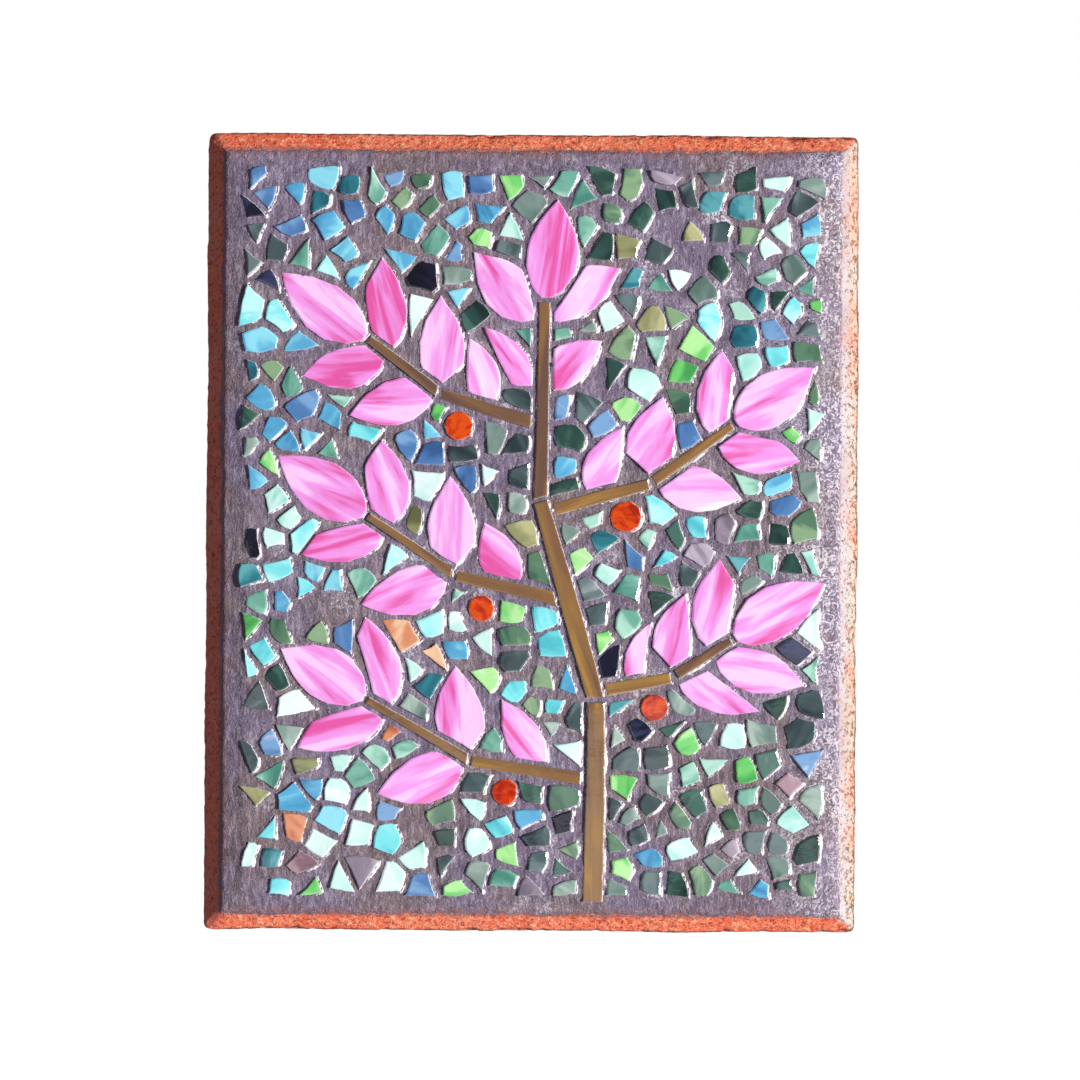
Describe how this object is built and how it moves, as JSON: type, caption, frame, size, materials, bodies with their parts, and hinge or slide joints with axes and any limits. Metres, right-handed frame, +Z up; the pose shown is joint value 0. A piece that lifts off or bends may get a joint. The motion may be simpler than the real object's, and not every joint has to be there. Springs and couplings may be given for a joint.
{
  "type": "mosaic panel",
  "caption": "Upright wall panel of bevelled terracotta with a grouted glass mosaic of a pink-leaved tree with orange fruit over blue and green tesserae.",
  "frame": {"origin": "middle of the slab's flat back, where it lies on the wall", "axes": "+X to the right as the panel is looked at, +Z up, +Y into the wall; the mosaic looks towards -Y"},
  "size_m": [0.229, 0.0196, 0.28],
  "materials": {
    "terracotta": "unglazed granular red terracotta, orange with darker pits and pale flecks",
    "grout": "matt sandy mauve-grey cement grout",
    "pink_glass": "glossy opaque opal glass, streaked white, pink, magenta and lilac",
    "orange_glass": "glossy opaque orange-red opal glass",
    "brown_glass": "glossy opaque olive-brown and tan streaky glass",
    "ground_glass": "glossy opaque streaky glass in turquoise, aqua, mint, blue, greens, slate and navy"
  },
  "bodies": {
    "root": {"bough_1_inner_strip": "brown_glass", "bough_1_leaf_1": "pink_glass", "bough_1_leaf_2": "pink_glass", "bough_1_leaf_3": "pink_glass", "bough_1_leaf_4": "pink_glass", "bough_1_leaf_5": "pink_glass", "bough_1_leaf_6": "pink_glass", "bough_1_outer_strip": "brown_glass", "bough_2_inner_strip": "brown_glass", "bough_2_leaf_1": "pink_glass", "bough_2_leaf_2": "pink_glass", "bough_2_leaf_3": "pink_glass", "bough_2_leaf_4": "pink_glass", "bough_2_leaf_5": "pink_glass", "bough_2_leaf_6": "pink_glass", "bough_2_outer_strip": "brown_glass", "bough_3_inner_strip": "brown_glass", "bough_3_leaf_1": "pink_glass", "bough_3_leaf_2": "pink_glass", "bough_3_leaf_3": "pink_glass", "bough_3_leaf_4": "pink_glass", "bough_3_leaf_5": "pink_glass", "bough_3_leaf_6": "pink_glass", "bough_3_outer_strip": "brown_glass", "bough_4_inner_strip": "brown_glass", "bough_4_leaf_1": "pink_glass", "bough_4_leaf_2": "pink_glass", "bough_4_leaf_3": "pink_glass", "bough_4_leaf_4": "pink_glass", "bough_4_leaf_5": "pink_glass", "bough_4_leaf_6": "pink_glass", "bough_4_outer_strip": "brown_glass", "bough_5_inner_strip": "brown_glass", "bough_5_leaf_1": "pink_glass", "bough_5_leaf_2": "pink_glass", "bough_5_leaf_3": "pink_glass", "bough_5_leaf_4": "pink_glass", "bough_5_leaf_5": "pink_glass", "bough_5_leaf_6": "pink_glass", "bough_5_outer_strip": "brown_glass", "crown_leaf_1": "pink_glass", "crown_leaf_2": "pink_glass", "crown_leaf_3": "pink_glass", "crown_leaf_4": "pink_glass", "crown_leaf_5": "pink_glass", "fruit_1": "orange_glass", "fruit_2": "orange_glass", "fruit_3": "orange_glass", "fruit_4": "orange_glass", "fruit_5": "orange_glass", "grout_bed": "grout", "slab": "terracotta", "trunk_strip_1": "brown_glass", "trunk_strip_2": "brown_glass", "trunk_strip_3": "brown_glass"}
  },
  "joints": []
}
